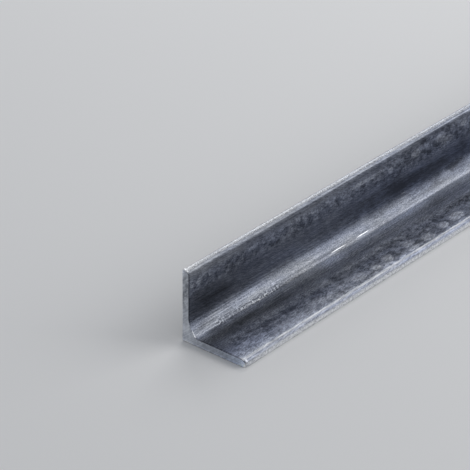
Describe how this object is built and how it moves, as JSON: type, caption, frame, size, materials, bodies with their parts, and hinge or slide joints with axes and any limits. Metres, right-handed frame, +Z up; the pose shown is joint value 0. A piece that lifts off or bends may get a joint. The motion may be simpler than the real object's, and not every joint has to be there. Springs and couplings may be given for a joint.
{
  "type": "steel angle section",
  "caption": "Hot-rolled equal angle bar in dark mill-scaled steel, L-shaped in section with a full, sloped root and rounded toes, cut square to a one-metre length.",
  "frame": {"origin": "on the floor, midway along the bar and midway across the lying base leg", "axes": "+X across the base leg from heel to toe, +Y along the bar, +Z up the upright leg"},
  "size_m": [0.04, 1, 0.04],
  "materials": {
    "rolled_steel": "bare hot-rolled steel with blue-grey mill scale, burnished along the root and toes, sawn bare at both ends"
  },
  "bodies": {
    "root": {"angle_bar": "rolled_steel"}
  },
  "joints": []
}
